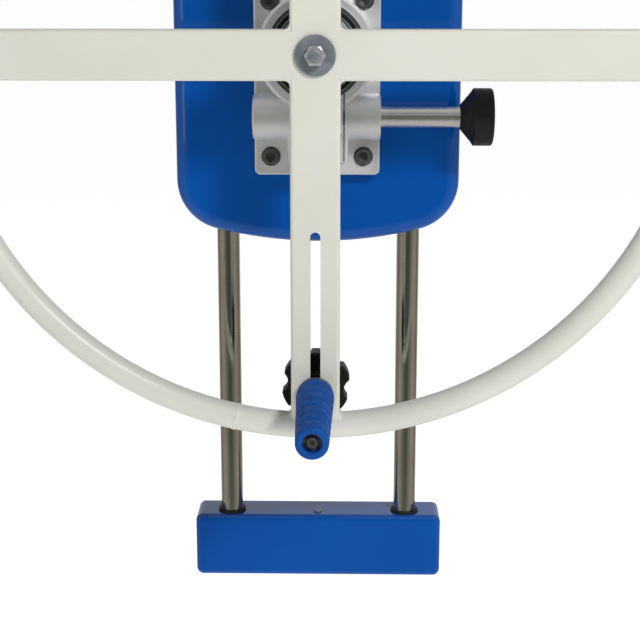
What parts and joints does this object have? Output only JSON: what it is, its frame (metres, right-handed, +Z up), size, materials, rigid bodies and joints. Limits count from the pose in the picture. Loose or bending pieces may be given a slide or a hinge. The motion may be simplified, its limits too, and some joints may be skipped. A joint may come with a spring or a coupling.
{
  "type": "wall-mounted shoulder exercise wheel",
  "caption": "Wall-mounted exercise wheel with a sliding handle, brake and height-adjustable carriage on two columns.",
  "frame": {"origin": "centre of the lower wall plate's back face, in the plane of the wall", "axes": "+X to the user's right, +Y into the wall, +Z up along the columns"},
  "size_m": [0.7868, 0.325, 1.214],
  "materials": {
    "blue_gloss": "glossy moulded blue",
    "cream_paint": "satin powder coat",
    "chrome_tube": "polished chrome",
    "aluminium_cast": "fine machined satin",
    "black_plastic": "fine grained black",
    "blue_grip": "matte ribbed grip",
    "steel_zinc": "blue zinc plate",
    "black_steel": "black oxide",
    "bearing_steel": "ground steel",
    "rod_steel": "satin turned steel",
    "brass_parts": "turned brass",
    "white_polymer": "natural acetal",
    "brake_fibre": "brake lining fibre"
  },
  "bodies": {
    "wall_frame": {"lower_wall_plate": "steel_zinc", "upper_wall_plate": "steel_zinc", "lower_column_sockets": "steel_zinc", "upper_column_sockets": "steel_zinc", "socket_set_screws": "black_steel", "lower_bracket_cover": "blue_gloss", "upper_bracket_cover": "blue_gloss", "bracket_cover_screws": "steel_zinc", "column_grommets": "black_plastic", "column_left": "chrome_tube", "column_right": "chrome_tube"},
    "carriage": {"carriage_plate": "steel_zinc", "guide_blocks": "aluminium_cast", "guide_bushes": "white_polymer", "guide_block_screws": "black_steel", "carriage_cover": "blue_gloss", "cover_spacers": "aluminium_cast", "housing_nuts": "steel_zinc", "bearing_housing": "aluminium_cast", "bearing_outer_rings": "bearing_steel", "housing_snap_ring": "black_steel", "housing_screws": "black_steel", "brake_lining": "brake_fibre", "brake_bush": "brass_parts"},
    "wheel": {"hub_drum": "bearing_steel", "bearing_inner_rings": "bearing_steel", "hub_snap_ring": "black_steel", "centre_bolt": "steel_zinc", "centre_nut": "bearing_steel", "centre_washer": "steel_zinc", "centre_sleeve": "steel_zinc", "horizontal_spoke": "cream_paint", "upper_spoke": "cream_paint", "lower_spoke": "cream_paint", "wheel_rim": "cream_paint"},
    "ball_cages": {"bearing_cages": "bearing_steel", "bearing_balls": "bearing_steel"},
    "handle_carrier": {"slot_block": "black_plastic", "handle_spindle": "steel_zinc", "handle_flange": "black_steel", "grip_end_washer": "black_steel", "grip_end_screw": "black_steel"},
    "grip": {"handle_grip": "blue_grip", "grip_sleeve": "white_polymer"},
    "clamp_washer": {"clamp_washer": "steel_zinc"},
    "clamp_knob": {"star_knob": "black_plastic", "star_knob_insert": "brass_parts"},
    "brake_pad": {"brake_pad": "black_steel"},
    "brake_knob": {"brake_rod": "rod_steel", "brake_knob": "black_plastic"},
    "lock_pad": {"height_lock_pad": "brass_parts"},
    "lock_knob": {"height_lock_screw": "steel_zinc", "height_lock_knob": "black_plastic"}
  },
  "joints": [
    {"name": "carriage_height", "type": "slide", "parent": "wall_frame", "child": "carriage", "axis": [0, 0, 1], "range_m": [-0.3, 0.3]},
    {"name": "wheel_turn", "type": "hinge", "parent": "carriage", "child": "wheel", "pos_m": [0, -0.09, 0.57], "axis": [0, 1, 0], "continuous": true},
    {"name": "ball_cage_turn", "type": "hinge", "parent": "carriage", "child": "ball_cages", "pos_m": [0, -0.09, 0.57], "axis": [0, 1, 0], "continuous": true},
    {"name": "handle_reach", "type": "slide", "parent": "wheel", "child": "handle_carrier", "axis": [0, 0, 1], "range_m": [0, 0.147]},
    {"name": "grip_turn", "type": "hinge", "parent": "handle_carrier", "child": "grip", "pos_m": [0, -0.24, 0.226], "axis": [0, 1, 0], "continuous": true},
    {"name": "clamp_travel", "type": "slide", "parent": "handle_carrier", "child": "clamp_washer", "axis": [0, 1, 0], "range_m": [0, 0.0025]},
    {"name": "clamp_turn", "type": "hinge", "parent": "clamp_washer", "child": "clamp_knob", "pos_m": [0, -0.14, 0.226], "axis": [0, 1, 0], "range_deg": [0, 720]},
    {"name": "brake_travel", "type": "slide", "parent": "carriage", "child": "brake_pad", "axis": [-1, 0, 0], "range_m": [0, 0.0015]},
    {"name": "brake_turn", "type": "hinge", "parent": "brake_pad", "child": "brake_knob", "pos_m": [0.17, -0.09, 0.5015], "axis": [-1, 0, 0], "range_deg": [0, 360]},
    {"name": "lock_travel", "type": "slide", "parent": "carriage", "child": "lock_pad", "axis": [1, 0, 0], "range_m": [0, 0.003]},
    {"name": "lock_turn", "type": "hinge", "parent": "lock_pad", "child": "lock_knob", "pos_m": [0.17, -0.025, 0.68], "axis": [1, 0, 0], "range_deg": [0, 720]}
  ],
  "couplings": [
    {"joint": "ball_cage_turn", "follows": "wheel_turn", "ratio": 0.4667},
    {"joint": "clamp_turn", "follows": "clamp_travel", "rad_per_m": 5026.5},
    {"joint": "brake_turn", "follows": "brake_travel", "rad_per_m": 4188.8},
    {"joint": "lock_turn", "follows": "lock_travel", "rad_per_m": 4188.8}
  ]
}
